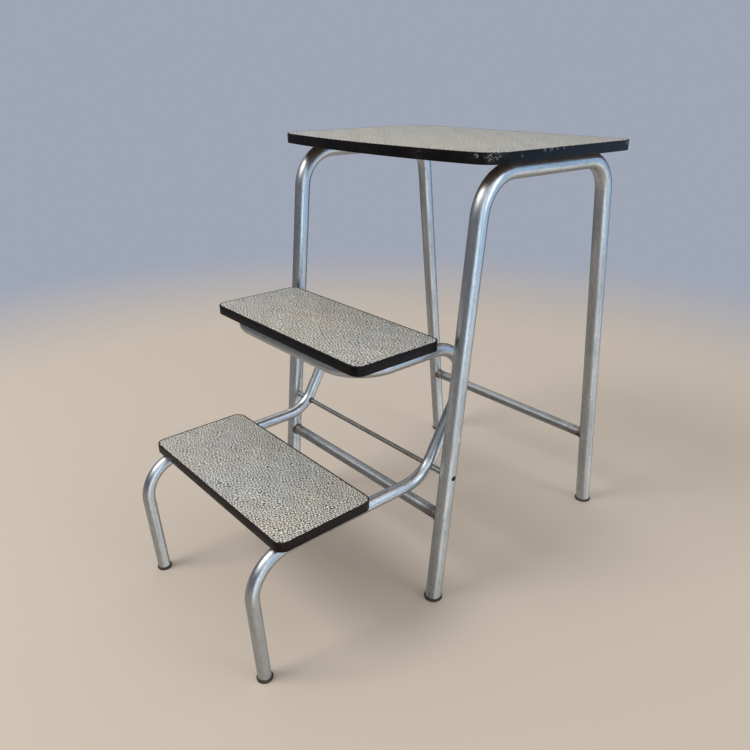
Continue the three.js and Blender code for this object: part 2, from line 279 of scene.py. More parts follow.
def makePlatedMetal(name, look):
    look = {**metalWear, **look}
    finish = Finish(name)
    along = finish.wire("ShaderNodeAttribute", {"attribute_name": "tubePlace"}, output="Vector")
    worn, streak, mottle, crowd = (
        finish.cloud(*look[kind], place=along) for kind in ("worn", "streak", "mottle", "crowd"))
    speck = finish.wire("ShaderNodeTexVoronoi", None, {
        "Vector": finish.stretched(along, look["speck"]), "Scale": 1.0}, "Distance")
    low = finish.part(finish.place, "Z").between(*look["pitHeights"])
    pits = crowd.between(*look["crowded"]) * speck.between(*look["pitSize"]) * low
    dull = (worn.between(*look["wornDull"]) * look["dullShare"]
            + streak.between(*look["streakDull"]) * look["streakShare"]
            + mottle.between(*look["mottleDull"]) * look["mottleShare"]).clamped()
    colour = finish.blendColour(dull, look["clean"], look["dull"])
    stain = pits * look["pitStain"]
    if look["endStain"]:
        burnt = finish.part(finish.place, "X").size().between(*look["endStain"])
        stain = (stain + burnt * finish.cloud(*look["burn"]).between(*look["burnt"])).clamped()
    if look["groove"]:
        across = finish.vectorSum("LENGTH", finish.stretched(along, (1, 1, 0)), output="Value")
        stain = (stain + across.between(*look["groove"])).clamped()
    colour = finish.blendColour(stain, colour, look["stain"])
    rough = look["roughness"] + (look["wornRoughness"] - look["roughness"]) * worn.between(*look["wornRough"])
    rough = rough + streak * 0.06 + stain * 0.2
    for centre, radius in look["scratches"]:
        line = finish.near(centre, radius) * streak.between(*look["scratched"])
        colour = finish.blendColour(line, colour, look["scratch"])
        rough = rough + line * 0.2
    height = streak * 0.35 + worn * 0.5 + mottle * 0.25 - pits * 0.8
    return finish.coat(colour, rough, height, *look["relief"], Metallic=1.0)


boardLaminate = {
    "light": (0.735, 0.712, 0.665),
    "dark": (0.034, 0.032, 0.030),
    "warm": (1.0, 0.955, 0.89),  # tints over whole areas of a board
    "cool": (0.93, 0.955, 0.965),
    "grain": 305,  # pebbles of the leather grain to the metre
    "warp": (0.25, 3.6),  # its scale is this share of the grain's, its push this many pebbles at most
    "drawn": (1.1, 0.92, 1.0),  # the pebbles are drawn out along Y
    # waves that cross to leave pebbles of about one size: turn and shift in radians, closeness
    "crests": [
        (0.21, 0.4, 0.95), (0.72, 2.9, 1.08), (1.25, 5.1, 0.86),
        (1.80, 1.6, 1.13), (2.30, 4.2, 0.92), (2.88, 0.9, 1.05),
    ],
    "pebble": (-1.3, 1.3),  # what the waves add up to where a pebble begins and where it is full
    "fine": (2.4, 2.0, 0.5),  # scaled against the grain
    "fineLit": (0.40, 0.60),
    "fineShare": 0.16,
    "patch": (7.0, 4.0, 0.55),
    "patched": (0.38, 0.62),
    "rubbed": ((22, 30, 22), 3.0, 0.6),
    "rubbedShare": 0.15,
    "roughness": 0.46,
    "relief": (0.3 * mm, 0.8),
}


def makeLaminate(name, look):
    finish = Finish(name)
    count = look["grain"]
    warpScale, warpPush = look["warp"]
    crooked = finish.stretched(finish.moved(count * warpScale, warpPush / count), look["drawn"])
    crests = 0.0
    for turn, shift, close in look["crests"]:
        pace = 2 * math.pi * count * close
        heading = (pace * math.cos(turn), pace * math.sin(turn), 0)
        reach = finish.vectorSum("DOT_PRODUCT", crooked, heading, output="Value")
        crests = crests + reach.sum("SINE", reach + shift)
    pebbles = crests.between(*look["pebble"])
    fineScale, *fineNoise = look["fine"]
    fine = finish.cloud(count * fineScale, *fineNoise)
    lit = pebbles * (1 - look["fineShare"]) + fine.between(*look["fineLit"]) * look["fineShare"]
    patch, rubbed = finish.cloud(*look["patch"]), finish.cloud(*look["rubbed"])
    grain = (lit + (rubbed - 0.5) * look["rubbedShare"]).clamped()
    colour = finish.blendColour(grain, look["dark"], look["light"])
    tint = finish.blendColour(patch.between(*look["patched"]), look["warm"], look["cool"])
    colour = finish.blendColour(1.0, colour, tint, "MULTIPLY")
    rough = look["roughness"] + 0.2 * (1 - grain) + rubbed * 0.1
    return finish.coat(colour, rough, pebbles + fine * 0.3, *look["relief"])


edgeBand = {
    "black": (0.004, 0.004, 0.0055),
    "brown": (0.0145, 0.0082, 0.0065),
    "lowHeights": (0.34, 0.20),  # the band is browner from the first height down to the second
    "lowShare": 0.65,  # how much of the brown comes with height, wear bringing the rest
    # bluish pale: worn plastic, and the painted highlight of the band's gloss
    "scuff": (0.36, 0.39, 0.43),
    "roughness": 0.24,
    "scuffedRoughness": 0.5,
    "specular": 0.15,
    "wear": (26, 4.0, 0.6),
    "wearBrown": (0.4, 0.62),
    "wearRough": (0.45, 0.7),
    "wearScuff": (0.60, 0.74),
    "scrape": ((260, 260, 900), 3.0, 0.65),
    "scraped": (0.56, 0.66),
    "scuffShare": 0.2,
    "chip": ((430, 430, 700), 2.0, 0.6),
    "chipped": (0.50, 0.62),
    "chipShare": 0.75,
    "relief": (0.2 * mm, 0.35),
    # places where the seat's band is chipped and rubbed, partly painted highlights of its gloss at the front
    # corner, and how far each spreads
    "chips": [
        ((0.1895, -0.0165, 0.589), 0.007), ((0.195, -0.0095, 0.59), 0.0055), ((0.1775, -0.0247, 0.59), 0.004),
        ((0.2, 0.025, 0.588), 0.003), ((0.2, 0.067, 0.5925), 0.0045), ((0.2, 0.079, 0.5925), 0.005),
        ((0.2, 0.090, 0.5925), 0.0035), ((0.2, 0.103, 0.5925), 0.0035), ((0.2, 0.243, 0.59), 0.0045),
    ],
}


def makeEdgeBand(name, look):
    finish = Finish(name)
    wear, scrape = finish.cloud(*look["wear"]), finish.cloud(*look["scrape"])
    chipped = finish.cloud(*look["chip"]).between(*look["chipped"]) * look["chipShare"]
    low = finish.part(finish.place, "Z").between(*look["lowHeights"])
    scuffsAndHighlights = wear.between(*look["wearScuff"]) * scrape.between(*look["scraped"]) * look["scuffShare"]
    # the listed spots at the seat's front corner carry a painted highlight of the band's gloss as well as
    # real chips
    for centre, radius in look["chips"]:
        scuffsAndHighlights = scuffsAndHighlights + finish.near(centre, radius) * chipped
    scuffsAndHighlights = scuffsAndHighlights.clamped()
    browned = wear.between(*look["wearBrown"]) * (1 - look["lowShare"]) + low * look["lowShare"]
    base = finish.blendColour(browned, look["black"], look["brown"])
    colour = finish.blendColour(scuffsAndHighlights, base, look["scuff"])
    roughened = (look["scuffedRoughness"] - look["roughness"]) * wear.between(*look["wearRough"])
    rough = look["roughness"] + roughened + scuffsAndHighlights * 0.2
    height = scrape * 0.5 + wear * 0.4 - scuffsAndHighlights * 0.6
    return finish.coat(colour, rough, height, *look["relief"], SpecularIORLevel=look["specular"])


boardCore = {
    "light": (0.150, 0.098, 0.062),
    "dark": (0.060, 0.038, 0.026),
    "warp": (4.0, 0.02),  # scale and push in metres, so the grain wanders
    "grain": ((7, 160, 160), 5.0, 0.6),
    "grained": (0.35, 0.68),
    "pore": ((60, 1500, 1500), 2.0),
    "pored": (0.60, 0.75),
    "poreShare": 0.5,
    "roughness": 0.75,
    "relief": (0.4 * mm, 0.6),
}


def makeBoardCore(name, look):
    finish = Finish(name)
    grain = finish.cloud(*look["grain"], place=finish.moved(*look["warp"]))
    pore = finish.cloud(*look["pore"])
    colour = finish.blendColour(grain.between(*look["grained"]), look["light"], look["dark"])
    colour = finish.blendColour(pore.between(*look["pored"]) * look["poreShare"], colour, look["dark"])
    return finish.coat(colour, look["roughness"] + 0.1 * grain, grain * 0.6 - pore * 0.4, *look["relief"])


footRubber = {
    "clean": (0.026, 0.018, 0.014),
    "dust": (0.13, 0.105, 0.08),
    "grime": (130, 4.0, 0.6),
    "dusty": (0.50, 0.75),
    "dustShare": 0.5,
    "grit": (1400, 2.0),
    "roughness": 0.62,
    "relief": (0.2 * mm, 0.6),
}


def makeRubber(name, look):
    finish = Finish(name)
    grime, grit = finish.cloud(*look["grime"]), finish.cloud(*look["grit"])
    dust = grime.between(*look["dusty"]) * look["dustShare"]
    colour = finish.blendColour(dust, look["clean"], look["dust"])
    return finish.coat(colour, look["roughness"] + 0.2 * grime, grit * 0.5 + grime * 0.5, *look["relief"])


tarnish = {"cloud": (420, 4.0, 0.6), "tarnished": (0.40, 0.62), "relief": (0.1 * mm, 0.4)}
screwMetal = {"plate": (0.55, 0.51, 0.42), "tarnish": (0.22, 0.17, 0.11), "roughness": 0.32}
weldMetal = {"plate": (0.26, 0.25, 0.235), "tarnish": (0.06, 0.042, 0.024), "roughness": 0.42}


def makeTarnishedMetal(name, look):
    finish = Finish(name)
    cloud = finish.cloud(*tarnish["cloud"])
    colour = finish.blendColour(cloud.between(*tarnish["tarnished"]), look["plate"], look["tarnish"])
    return finish.coat(colour, look["roughness"] + 0.3 * cloud, cloud, *tarnish["relief"], Metallic=1.0)


finishes = {
    "frame_metal": makePlatedMetal("platedTube", platedTube),
    "cross_tube_metal": makePlatedMetal("crossTube", crossTube),
    "rod_metal": makePlatedMetal("pivotMetal", pivotMetal),
    "board_laminate": makeLaminate("boardLaminate", boardLaminate),
    "edge_band": makeEdgeBand("edgeBand", edgeBand),
    "board_core": makeBoardCore("boardCore", boardCore),
    "foot_rubber": makeRubber("footRubber", footRubber),
    "screw_metal": makeTarnishedMetal("screwMetal", screwMetal),
    "weld": makeTarnishedMetal("weldMetal", weldMetal),
}
print("finishes made")


# mesh helpers

sharpFrom = {"tube": 38, "board": 32, "screw": 35}  # an edge that turns by more degrees stays sharp


def pieceName(node):  # step_foot_left becomes stepFootLeft
    first, *others = node.split("_")
    return first + "".join(word.capitalize() for word in others)


def linkMesh(name, mesh):
    item = bpy.data.objects.new(name, mesh)
    scene.collection.objects.link(item)
    return item


def finishPiece(item, body, slot, nodes=()):
    if not item.data.materials:
        item.data.materials.append(finishes[slot])
    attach(item, body)
    if nodes:
        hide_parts(*nodes)


def smoothMesh(mesh, kind):
    mesh.shade_smooth()
    mesh.set_sharp_from_angle(angle=math.radians(sharpFrom[kind]))


def meshFrom(name, shape, kind="tube"):
    bmesh.ops.recalc_face_normals(shape, faces=shape.faces)
    mesh = bpy.data.meshes.new(name)
    shape.to_mesh(mesh)
    shape.free()
    smoothMesh(mesh, kind)
    return mesh


def settledMesh(item):  # a mesh of the item as its modifiers leave it
    bpy.context.view_layer.update()
    return bpy.data.meshes.new_from_object(item.evaluated_get(bpy.context.evaluated_depsgraph_get()))


def joinRings(shape, rings, sides, closed):  # a ring may be a single point, where the skin closes
    for lower, upper in zip(rings, rings[1:] + (rings[:1] if closed else [])):
        for i in range(sides):
            j = (i + 1) % sides
            corners = [ring[k % len(ring)] for ring, k in ((lower, i), (lower, j), (upper, j), (upper, i))]
            if len(set(corners)) > 2:
                shape.faces.new(list(dict.fromkeys(corners)))


def addTurned(shape, profile, start, axis, sides, closed=False, radiusAt=None):
    # turns (reach, radius) pairs about the line from start along axis; radius 0 closes a pole
    turn = Vector(axis).to_track_quat("Z", "Y").to_matrix()
    rings, spots = [], []
    for reach, radius in profile:
        ring = []
        for i in range(sides if radius else 1):
            angle = 2 * math.pi * i / sides
            wide = radiusAt(reach, angle, radius) if radiusAt else radius
            spot = Vector((wide * math.cos(angle), wide * math.sin(angle), reach))
            ring.append(shape.verts.new(Vector(start) + turn @ spot))
            spots.append(spot)
        rings.append(ring)
    joinRings(shape, rings, sides, closed)
    return spots


def turnedPiece(name, profile, start, axis, sides, **settings):
    shape = bmesh.new()
    spots = addTurned(shape, profile, start, axis, sides, **settings)
    mesh = meshFrom(name, shape)
    place = mesh.attributes.new("tubePlace", "FLOAT_VECTOR", "POINT")
    place.data.foreach_set("vector", [number for spot in spots for number in spot])
    return linkMesh(name, mesh)


def arcPoints(centre, radius, start, end, steps):
    turn = (end - start) / steps
    return [
        (centre[0] + radius * math.cos(start + turn * i), centre[1] + radius * math.sin(start + turn * i))
        for i in range(steps + 1)
    ]


def drill(item, holes, sides=32):  # cuts round holes, given as (radius, start, end), out of item
    shape = bmesh.new()
    for radius, start, end in holes:
        axis = Vector(end) - Vector(start)
        addTurned(shape, [(0, 0), (0, radius), (axis.length, radius), (axis.length, 0)], start, axis, sides)
    cutAway(item, linkMesh("holes", meshFrom("holes", shape)))


def cutAway(item, tool):
    cutter = item.modifiers.new("cut", "BOOLEAN")
    cutter.operation = "DIFFERENCE"
    cutter.solver = "EXACT"
    cutter.object = tool
    mesh = settledMesh(item)
    item.modifiers.clear()
    item.data = mesh
    smoothMesh(mesh, "tube")
    bpy.data.objects.remove(tool)


# geometry-node helpers

class NodeSheet(Bench):
    def __init__(self, name, inputs):
        super().__init__(bpy.data.node_groups.new(name, "GeometryNodeTree"))
        newSocket = self.tree.interface.new_socket
        newSocket("Geometry", in_out="INPUT", socket_type="NodeSocketGeometry")
        newSocket("Geometry", in_out="OUTPUT", socket_type="NodeSocketGeometry")
        self.identifiers = {
            label: newSocket(label, in_out="INPUT", socket_type="NodeSocket" + kind).identifier
            for label, kind in {**inputs, "Material": "Material"}.items()
        }
        self.start = self.add("NodeGroupInput")
        self.end = self.add("NodeGroupOutput")

    def given(self, label):
        return Wire(self, self.start.outputs[label])

    def guideCurve(self):
        return self.wire("GeometryNodeMeshToCurve", None, {"Mesh": self.given("Geometry")})

    def reach(self):  # how far along its curve a point lies
        return self.wire("GeometryNodeSplineParameter", output="Length")

    def resampled(self, curve, count):
        return self.wire("GeometryNodeResampleCurve", None, {"Curve": curve, "Count": count})

    def circle(self, sides, radius):
        return self.wire("GeometryNodeCurvePrimitiveCircle", None, {"Resolution": sides, "Radius": radius})

    def swept(self, curve, ring, values):
        return self.wire("GeometryNodeCurveToMesh", None, {"Curve": curve, "Profile Curve": ring, **values})

    def upward(self, height):
        return self.wire("ShaderNodeCombineXYZ", None, {"Z": height})

    def stored(self, geometry, name, value, kind="FLOAT", domain="POINT"):
        return self.wire("GeometryNodeStoreNamedAttribute", {"data_type": kind, "domain": domain}, {
            "Geometry": geometry, "Name": name, "Value": value})

    def recalled(self, name, kind="FLOAT"):
        return self.wire("GeometryNodeInputNamedAttribute", {"data_type": kind}, {"Name": name}, "Attribute")

    def finishWith(self, geometry):
        smooth = self.wire("GeometryNodeSetShadeSmooth", None, {"Geometry": geometry})
        real = self.wire("GeometryNodeRealizeInstances", None, {"Geometry": smooth})
        values = {"Geometry": real, "Material": self.given("Material")}
        self.feed(self.end.inputs[0], self.wire("GeometryNodeSetMaterial", None, values))

    def run(self, source, slot, values):  # the tree's result on source, as a mesh of its own
        modifier = source.modifiers.new("nodes", "NODES")
        modifier.node_group = self.tree
        for label, value in {**values, "Material": finishes[slot]}.items():
            modifier[self.identifiers[label]] = value
        source.update_tag()
        mesh = settledMesh(source)
        bpy.data.objects.remove(source)
        return mesh


def addGuide(name, points, edges=()):  # the points that a tree works from
    mesh = bpy.data.meshes.new(name + "Guide")
    mesh.from_pydata(points, edges, [])
    return linkMesh(name + "Guide", mesh)


# bent tubes: corner points, a bend radius at each corner, swept with a round section

def makeTubeSheet():
    sheet = NodeSheet("bentTube", {"Tube radius": "Float", "Steps in a bend": "Int", "Sides": "Int"})
    arcs = sheet.wire("GeometryNodeFilletCurve", {"mode": "POLY"}, {
        "Curve": sheet.guideCurve(),
        "Count": sheet.given("Steps in a bend"),
        "Radius": sheet.recalled("bendRadius"),
    })
    marked = sheet.stored(arcs, "reach", sheet.reach())
    circle = sheet.circle(sheet.given("Sides"), sheet.given("Tube radius"))
    ring = sheet.stored(circle, "ring", sheet.wire("GeometryNodeInputPosition"), "FLOAT_VECTOR")
    skin = sheet.swept(marked, ring, {"Fill Caps": True})
    lift = sheet.upward(sheet.recalled("reach"))
    both = sheet.vectorSum("ADD", sheet.recalled("ring", "FLOAT_VECTOR"), lift)
    sheet.finishWith(sheet.stored(skin, "tubePlace", both, "FLOAT_VECTOR", "CORNER"))
    return sheet


tubeSheet = makeTubeSheet()


def sweepTube(name, corners, radius, slot, sides=48, steps=24):  # corners: (x, y, z, bend radius)
    edges = [(i, i + 1) for i in range(len(corners) - 1)]
    line = addGuide(name, [corner[:3] for corner in corners], edges)
    bends = line.data.attributes.new("bendRadius", "FLOAT", "POINT")
    bends.data.foreach_set("value", [corner[3] for corner in corners])
    mesh = tubeSheet.run(line, slot, {"Tube radius": radius, "Steps in a bend": steps, "Sides": sides})
    return linkMesh(name, mesh)


def hollowTube(name, corners, size):  # open at both ends, which are cut off level at tubeEnd
    radius, sides = size["tubeRadius"], size["sides"]
    tube = sweepTube(name, corners, radius, "frame_metal", sides)
    bore = sweepTube(name + "Bore", corners, radius - size["wall"], "frame_metal", sides)
    for item, level in ((tube, tubeEnd), (bore, tubeEnd - radius)):
        for start, following in ((corners[0], corners[1]), (corners[-1], corners[-2])):
            slope = (following[1] - start[1]) / (following[2] - start[2])
            for vertex in item.data.vertices:
                if vertex.co.z < radius and math.dist(vertex.co[:2], start[:2]) < radius * 2:
                    vertex.co.y += slope * (level - vertex.co.z)
                    vertex.co.z = level
    cutAway(tube, bore)
    return tube


tubeEnd = 3.8 * mm
pivot = sum(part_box("pivot_rod"), Vector()) / 2
seatScrews, upperScrews, lowerScrews = (
    [f"{board}_screw_{number}" for number in range(1, 5)]
    for board in ("seat", "upper_step", "lower_step"))

screwHoles = {
    "shank": 2.1 * mm,
    "access": 4.5 * mm,
    "span": (0.3, 1.4),  # each hole runs between these shares of the tube's radius, from its middle
}

sideFrame = {
    "tubeRadius": 11 * mm,
    "wall": 1.5 * mm,
    "sides": 48,
    "halfSpread": 171.5 * mm,
    "frontFoot": -55.65 * mm,
    "rearFoot": 313.35 * mm,
    "frontTop": -2.65 * mm,
    "rearTop": 243.85 * mm,
    "topRun": 568.7 * mm,
    "frontBend": 54.5 * mm,
    "rearBend": 47 * mm,
    "rodHole": 3.6 * mm,
}

stepFrame = {
    "tubeRadius": 8.5 * mm,
    "wall": 1.3 * mm,
    "sides": 40,
    "halfSpread": 136 * mm,
    "foot": -310.15 * mm,
    "lowerFront": -320.95 * mm,
    "lowerRear": -48.55 * mm,
    "lowerRun": 174.5 * mm,
    "upperRear": 56.85 * mm,
    "upperFront": -163.65 * mm,
    "upperRun": 353.8 * mm,
    "bend": 52 * mm,
    "rodHole": 4.2 * mm,
    "bushHole": 4.6 * mm,  # the wider hole on the side that faces the middle
}


def holesUnder(screws, run, radius):  # each screw's way through a level tube whose middle is at run
    near, far = (radius * share for share in screwHoles["span"])
    holes = []
    for node in screws:
        x, y = (sum(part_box(node), Vector()) / 2).xy
        holes.append((screwHoles["shank"], (x, y, run + near), (x, y, run + far)))
        holes.append((screwHoles["access"], (x, y, run - far), (x, y, run - near)))
    return holes


def makeSideFrames():
    size = sideFrame
    for side, sign in (("left", -1), ("right", 1)):
        x, run, radius = sign * size["halfSpread"], size["topRun"], size["tubeRadius"]
        corners = [
            (x, size["frontFoot"], 0, 0),
            (x, size["frontTop"], run, size["frontBend"]),
            (x, size["rearTop"], run, size["rearBend"]),
            (x, size["rearFoot"], 0, 0),
        ]
        node = "side_frame_" + side
        item = hollowTube(pieceName(node), corners, size)
        reach = Vector((radius * 2, 0, 0))
        spot = Vector((x, pivot.y, pivot.z))
        screws = [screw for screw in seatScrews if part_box(screw)[0].x * sign > 0]
        drill(item, [(size["rodHole"], spot - reach, spot + reach)] + holesUnder(screws, run, radius))
        finishPiece(item, "stool", "frame_metal", [node])


def makeStepFrame():
    size = stepFrame
    half = [
        (size["foot"], 0, 0),
        (size["lowerFront"], size["lowerRun"], size["bend"]),
        (size["lowerRear"], size["lowerRun"], size["bend"]),
        (size["upperRear"], size["upperRun"], size["bend"]),
        (size["upperFront"], size["upperRun"], size["bend"]),
    ]
    corners = [(size["halfSpread"], *corner) for corner in half]
    corners += [(-size["halfSpread"], *corner) for corner in reversed(half)]
    radius = size["tubeRadius"]
    item = hollowTube("stepFrame", corners, size)
    reach = Vector((radius * 2, 0, 0))
    holes = []
    for sign in (-1, 1):
        spot = Vector((sign * size["halfSpread"], pivot.y, pivot.z))
        holes.append((size["rodHole"], spot, spot + reach * sign))
        holes.append((size["bushHole"], spot - reach * sign, spot))
    holes += holesUnder(upperScrews, size["upperRun"], radius)
    holes += holesUnder(lowerScrews, size["lowerRun"], radius)
    drill(item, holes)
    finishPiece(item, "steps", "frame_metal", ["step_frame"])


makeSideFrames()
makeStepFrame()
print("bent tubes swept, bored and drilled")


crossTubes = {
    "radius": 8 * mm,
    "frontPlace": (-43.81 * mm, 127 * mm),
    "rearPlace": (297.45 * mm, 130 * mm),
    "intoLeg": 0.8 * mm,  # how far the shaped ends reach into a leg's wall
}


def legSurface(y, z, middleY, middleZ, slope):  # x of a leg's inner face beside a cross tube
    across = ((y - middleY) - slope * (z - middleZ)) / math.hypot(1, slope)
    return sideFrame["halfSpread"] - math.sqrt(sideFrame["tubeRadius"] ** 2 - across ** 2)


def legSlope(place):
    return (sideFrame[place + "Top"] - sideFrame[place + "Foot"]) / sideFrame["topRun"]


def makeCrossTubes():
    for place in ("front", "rear"):
        y, z = crossTubes[place + "Place"]
        reach = sideFrame["halfSpread"] - sideFrame["tubeRadius"]
        ends = [(-reach, y, z, 0), (reach, y, z, 0)]
        item = sweepTube(place + "CrossTube", ends, crossTubes["radius"], "cross_tube_metal")
        for vertex in item.data.vertices:
            face = legSurface(vertex.co.y, vertex.co.z, y, z, legSlope(place)) + crossTubes["intoLeg"]
            vertex.co.x = math.copysign(face, vertex.co.x)
        smoothMesh(item.data, "tube")
        finishPiece(item, "stool", "cross_tube_metal", [place + "_cross_tube"])


# weld beads: a rippled cord of metal laid round each end of the cross tubes

weld = {
    "radius": 1.15 * mm,
    "offTube": 0.3 * mm,  # how far the bead's middle stands off the cross tube
    "ripple": 1.6 * mm,
    "rippleDepth": 0.16,
    "lumps": 0.5,
    "lumpNoise": {"Scale": 260.0, "Detail": 2.0},
    "points": 72,
    "rings": 180,
    "sides": 12,
}


def makeWeldSheet():
    sheet = NodeSheet("weldBead", {
        "Bead radius": "Float", "Ripple length": "Float", "Ripple depth": "Float", "Lumps": "Float"})
    even = sheet.resampled(sheet.guideCurve(), weld["rings"])
    reach, length = sheet.reach(), sheet.given("Ripple length")
    ripple = reach.sum("PINGPONG", reach, length) / length
    cloud = sheet.wire("ShaderNodeTexNoise", None, weld["lumpNoise"], "Fac")
    thick = 1 + (ripple - 0.5) * sheet.given("Ripple depth") + (cloud - 0.5) * sheet.given("Lumps")
    circle = sheet.circle(weld["sides"], sheet.given("Bead radius"))
    sheet.finishWith(sheet.swept(even, circle, {"Scale": thick}))
    return sheet


def makeWelds():
    points, edges = [], []
    count, radius = weld["points"], crossTubes["radius"] + weld["offTube"]
    for place in ("front", "rear"):
        middleY, middleZ = crossTubes[place + "Place"]
        for sign in (-1, 1):
            first = len(points)
            for i in range(count):
                angle = 2 * math.pi * i / count
                y, z = middleY + radius * math.cos(angle), middleZ + radius * math.sin(angle)
                points.append((sign * legSurface(y, z, middleY, middleZ, legSlope(place)), y, z))
                edges.append((first + i, first + (i + 1) % count))
    mesh = makeWeldSheet().run(addGuide("weld", points, edges), "weld", {
        "Bead radius": weld["radius"],
        "Ripple length": weld["ripple"],
        "Ripple depth": weld["rippleDepth"],
        "Lumps": weld["lumps"],
    })
    finishPiece(linkMesh("weldBeads", mesh), "stool", "cross_tube_metal")


makeCrossTubes()
makeWelds()


# the pivot: a ridged rod with domed ends, sleeves outside the step frame and dark bushes inside it

rod = {
    "radius": 3.3 * mm,
    "ridge": 3.6 * mm,  # from one groove to the next along the rod
    "grooveDepth": 0.5 * mm,
    "grooveSharpness": 1.6,
    "plainEnd": 58 * mm,
    "dome": 1.2 * mm,
    "domeSteps": 6,
    "ringsToRidge": 7,
    "sides": 24,
}
sleeve = {
    "outer": 4.5 * mm, "bore": 3.6 * mm, "waist": 4.2 * mm, "collar": 1.6 * mm, "ease": 0.3 * mm, "sides": 32}
bush = {
    "outer": 4.35 * mm, "bore": 3.45 * mm, "proud": 2.2 * mm, "length": 8 * mm, "ease": 0.3 * mm, "sides": 32}


def makeRod():
    low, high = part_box("pivot_rod")
    length = high.x - low.x
    dome, radius = rod["dome"], rod["radius"]

    def ridged(reach, angle, wide):
        if min(reach, length - reach) < rod["plainEnd"]:
            return wide
        phase = 2 * math.pi * reach / rod["ridge"] - angle
        return wide - rod["grooveDepth"] * (0.5 + 0.5 * math.cos(phase)) ** rod["grooveSharpness"]

    steps = rod["domeSteps"]
    turns = [math.pi / (2 * steps) * step for step in range(steps + 1)]
    cap = [(dome * (1 - math.cos(turn)), radius * math.sin(turn)) for turn in turns]
    gap = rod["ridge"] / rod["ringsToRidge"]
    middle = [(dome + gap * i, radius) for i in range(1, int((length - dome * 2) / gap))]
    profile = cap + middle + [(length - reach, wide) for reach, wide in reversed(cap)]
    start = (low.x, pivot.y, pivot.z)
    item = turnedPiece("pivotRod", profile, start, (1, 0, 0), rod["sides"], radiusAt=ridged)
    finishPiece(item, "stool", "rod_metal", ["pivot_rod"])


def makeSleeves():
    collar, bore, outer, ease = (sleeve[key] for key in ("collar", "bore", "outer", "ease"))
    half = [(0, bore), (0, outer - ease), (ease, outer), (collar, outer), (collar + ease, sleeve["waist"])]
    for node in ("pivot_sleeve_left", "pivot_sleeve_right"):
        low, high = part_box(node)
        profile = half + [(high.x - low.x - reach, wide) for reach, wide in reversed(half)]
        start = (low.x, pivot.y, pivot.z)
        item = turnedPiece(pieceName(node), profile, start, (1, 0, 0), sleeve["sides"], closed=True)
        finishPiece(item, "stool", "rod_metal", [node])


def makeBushes():
    length, bore, outer, ease = (bush[key] for key in ("length", "bore", "outer", "ease"))
    inner = stepFrame["halfSpread"] - stepFrame["tubeRadius"] - bush["proud"]
    for side, sign in (("Left", -1), ("Right", 1)):
        profile = [(0, bore), (0, outer - ease), (ease, outer), (length, outer), (length, bore)]
        start = (sign * inner, pivot.y, pivot.z)
        item = turnedPiece("pivotBush" + side, profile, start, (sign, 0, 0), bush["sides"], closed=True)
        finishPiece(item, "steps", "foot_rubber")


makeRod()
makeSleeves()
makeBushes()
print("cross tubes, welds and pivot made")


# boards: a section swept round the outline, inset by inset

seatBoard = {"frontRadius": 36 * mm, "rearRadius": 18 * mm, "bow": 19.6 * mm}
stepBoard = {"frontRadius": 13.5 * mm, "rearRadius": 13.5 * mm, "bow": 0}
boardSizes = {
    "band": 2.0 * mm,
    "seam": 0.08 * mm,
    "laminate": 1.0 * mm,
    "roundOver": 0.45 * mm,
    "roundSteps": 4,
    "ease": 0.25 * mm,
    "easeMiddle": (0.4, 0.3),  # shares of the ease, in and down, where the eased edge turns
    "cornerSteps": 14,
    "bowSteps": 36,
}


def boardOutline(halfWidth, rearEdge, frontCorner, look, inset):
    quarter = math.pi / 2
    half, rear, bow = halfWidth - inset, rearEdge - inset, look["bow"]
    radius, rearRadius = look["frontRadius"] - inset, look["rearRadius"] - inset
    cornerX, rearX = half - radius, half - rearRadius
    steps = boardSizes["cornerSteps"]
    if bow > 0:
        bowRadius = (halfWidth ** 2 + bow ** 2) / (2 * bow)
        centreY = frontCorner + bowRadius - bow
        rim = bowRadius - inset
        cornerY = centreY - math.sqrt((rim - radius) ** 2 - cornerX ** 2)
        meet = math.atan2(cornerX, centreY - cornerY)
        front = arcPoints((0, centreY), rim, -quarter - meet, -quarter + meet, boardSizes["bowSteps"])
        right = arcPoints((cornerX, cornerY), radius, -quarter + meet, 0, steps)[1:]
    else:
        cornerY = frontCorner + inset + radius
        front = []
        right = arcPoints((cornerX, cornerY), radius, -quarter, 0, steps)
    right += arcPoints((rearX, rear - rearRadius), rearRadius, 0, quarter, steps)
    return front + right + [(-x, y) for x, y in reversed(right)]


def sweptBoard(name, outline, section, closed):  # section: (inset, height) pairs
    shape = bmesh.new()
    rings = [[shape.verts.new((x, y, height)) for x, y in outline(inset)] for inset, height in section]
    joinRings(shape, rings, len(rings[0]), closed)
    if not closed:
        shape.faces.new(list(reversed(rings[0])))
        shape.faces.new(rings[-1])
    return linkMesh(name, meshFrom(name, shape, "board"))


